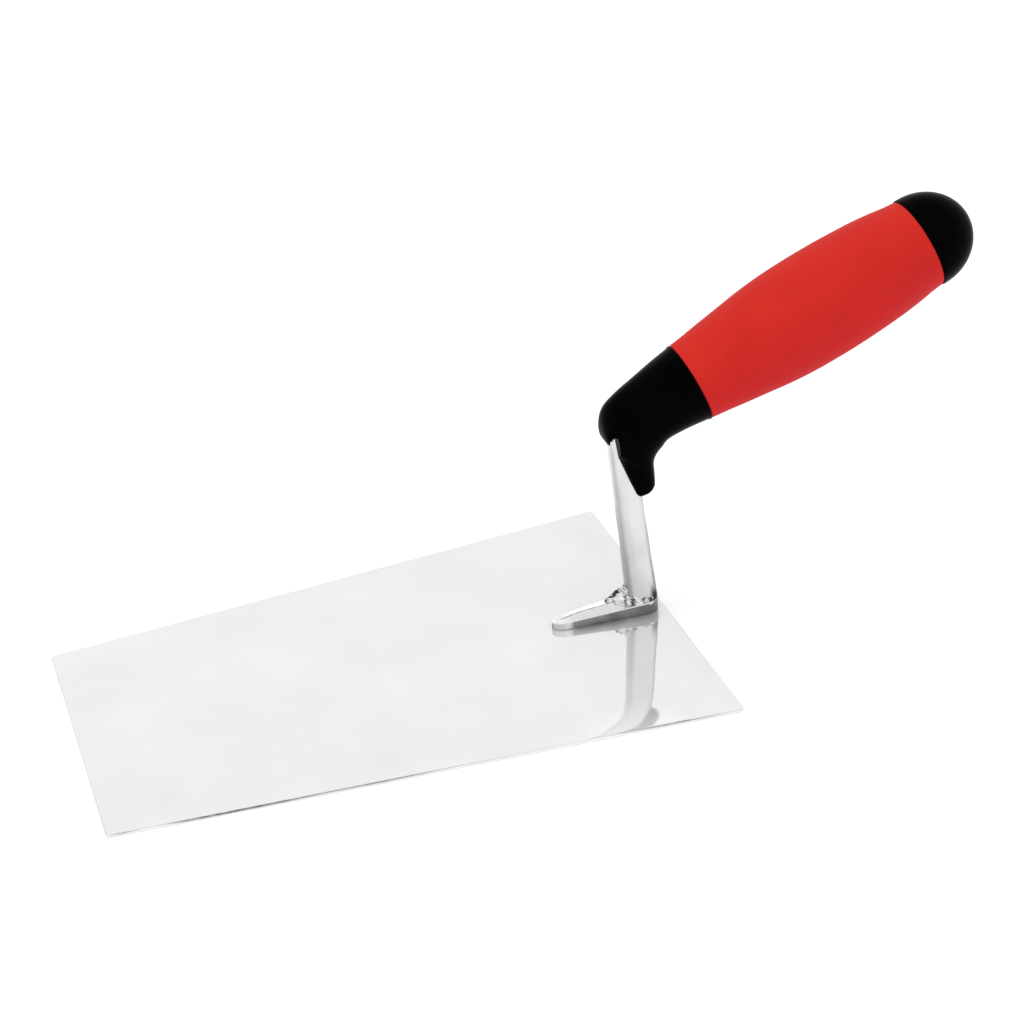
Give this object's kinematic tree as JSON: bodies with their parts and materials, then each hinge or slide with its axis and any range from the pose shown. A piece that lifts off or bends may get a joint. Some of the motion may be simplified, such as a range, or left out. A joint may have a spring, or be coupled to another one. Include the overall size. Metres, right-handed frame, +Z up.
{
  "type": "brick trowel",
  "caption": "Trowel with a flat square-ended steel blade, a welded foot and neck, and a tilted two-colour handle with a finger guard.",
  "frame": {"origin": "centre of the blade's flat underside", "axes": "+X along the blade from its tip to its heel and the handle, +Y across the blade, +Z up out of the blade's working underside"},
  "size_m": [0.3121, 0.1398, 0.1303],
  "materials": {
    "blade_steel": "bright polished sheet steel",
    "plated_steel": "bright plating over a formed bar",
    "weld_metal": "plated weld bead, uneven",
    "core_plastic": "hard moulded plastic, hidden",
    "black_plastic": "satin black moulded plastic",
    "red_grip": "matt red moulded grip"
  },
  "bodies": {
    "root": {"blade": "blade_steel", "foot": "plated_steel", "foot_spot_welds": "weld_metal", "shank": "plated_steel", "neck_weld": "weld_metal", "handle_core": "core_plastic", "nose_guard": "black_plastic", "grip_sleeve": "red_grip", "end_cap": "black_plastic"}
  },
  "joints": []
}
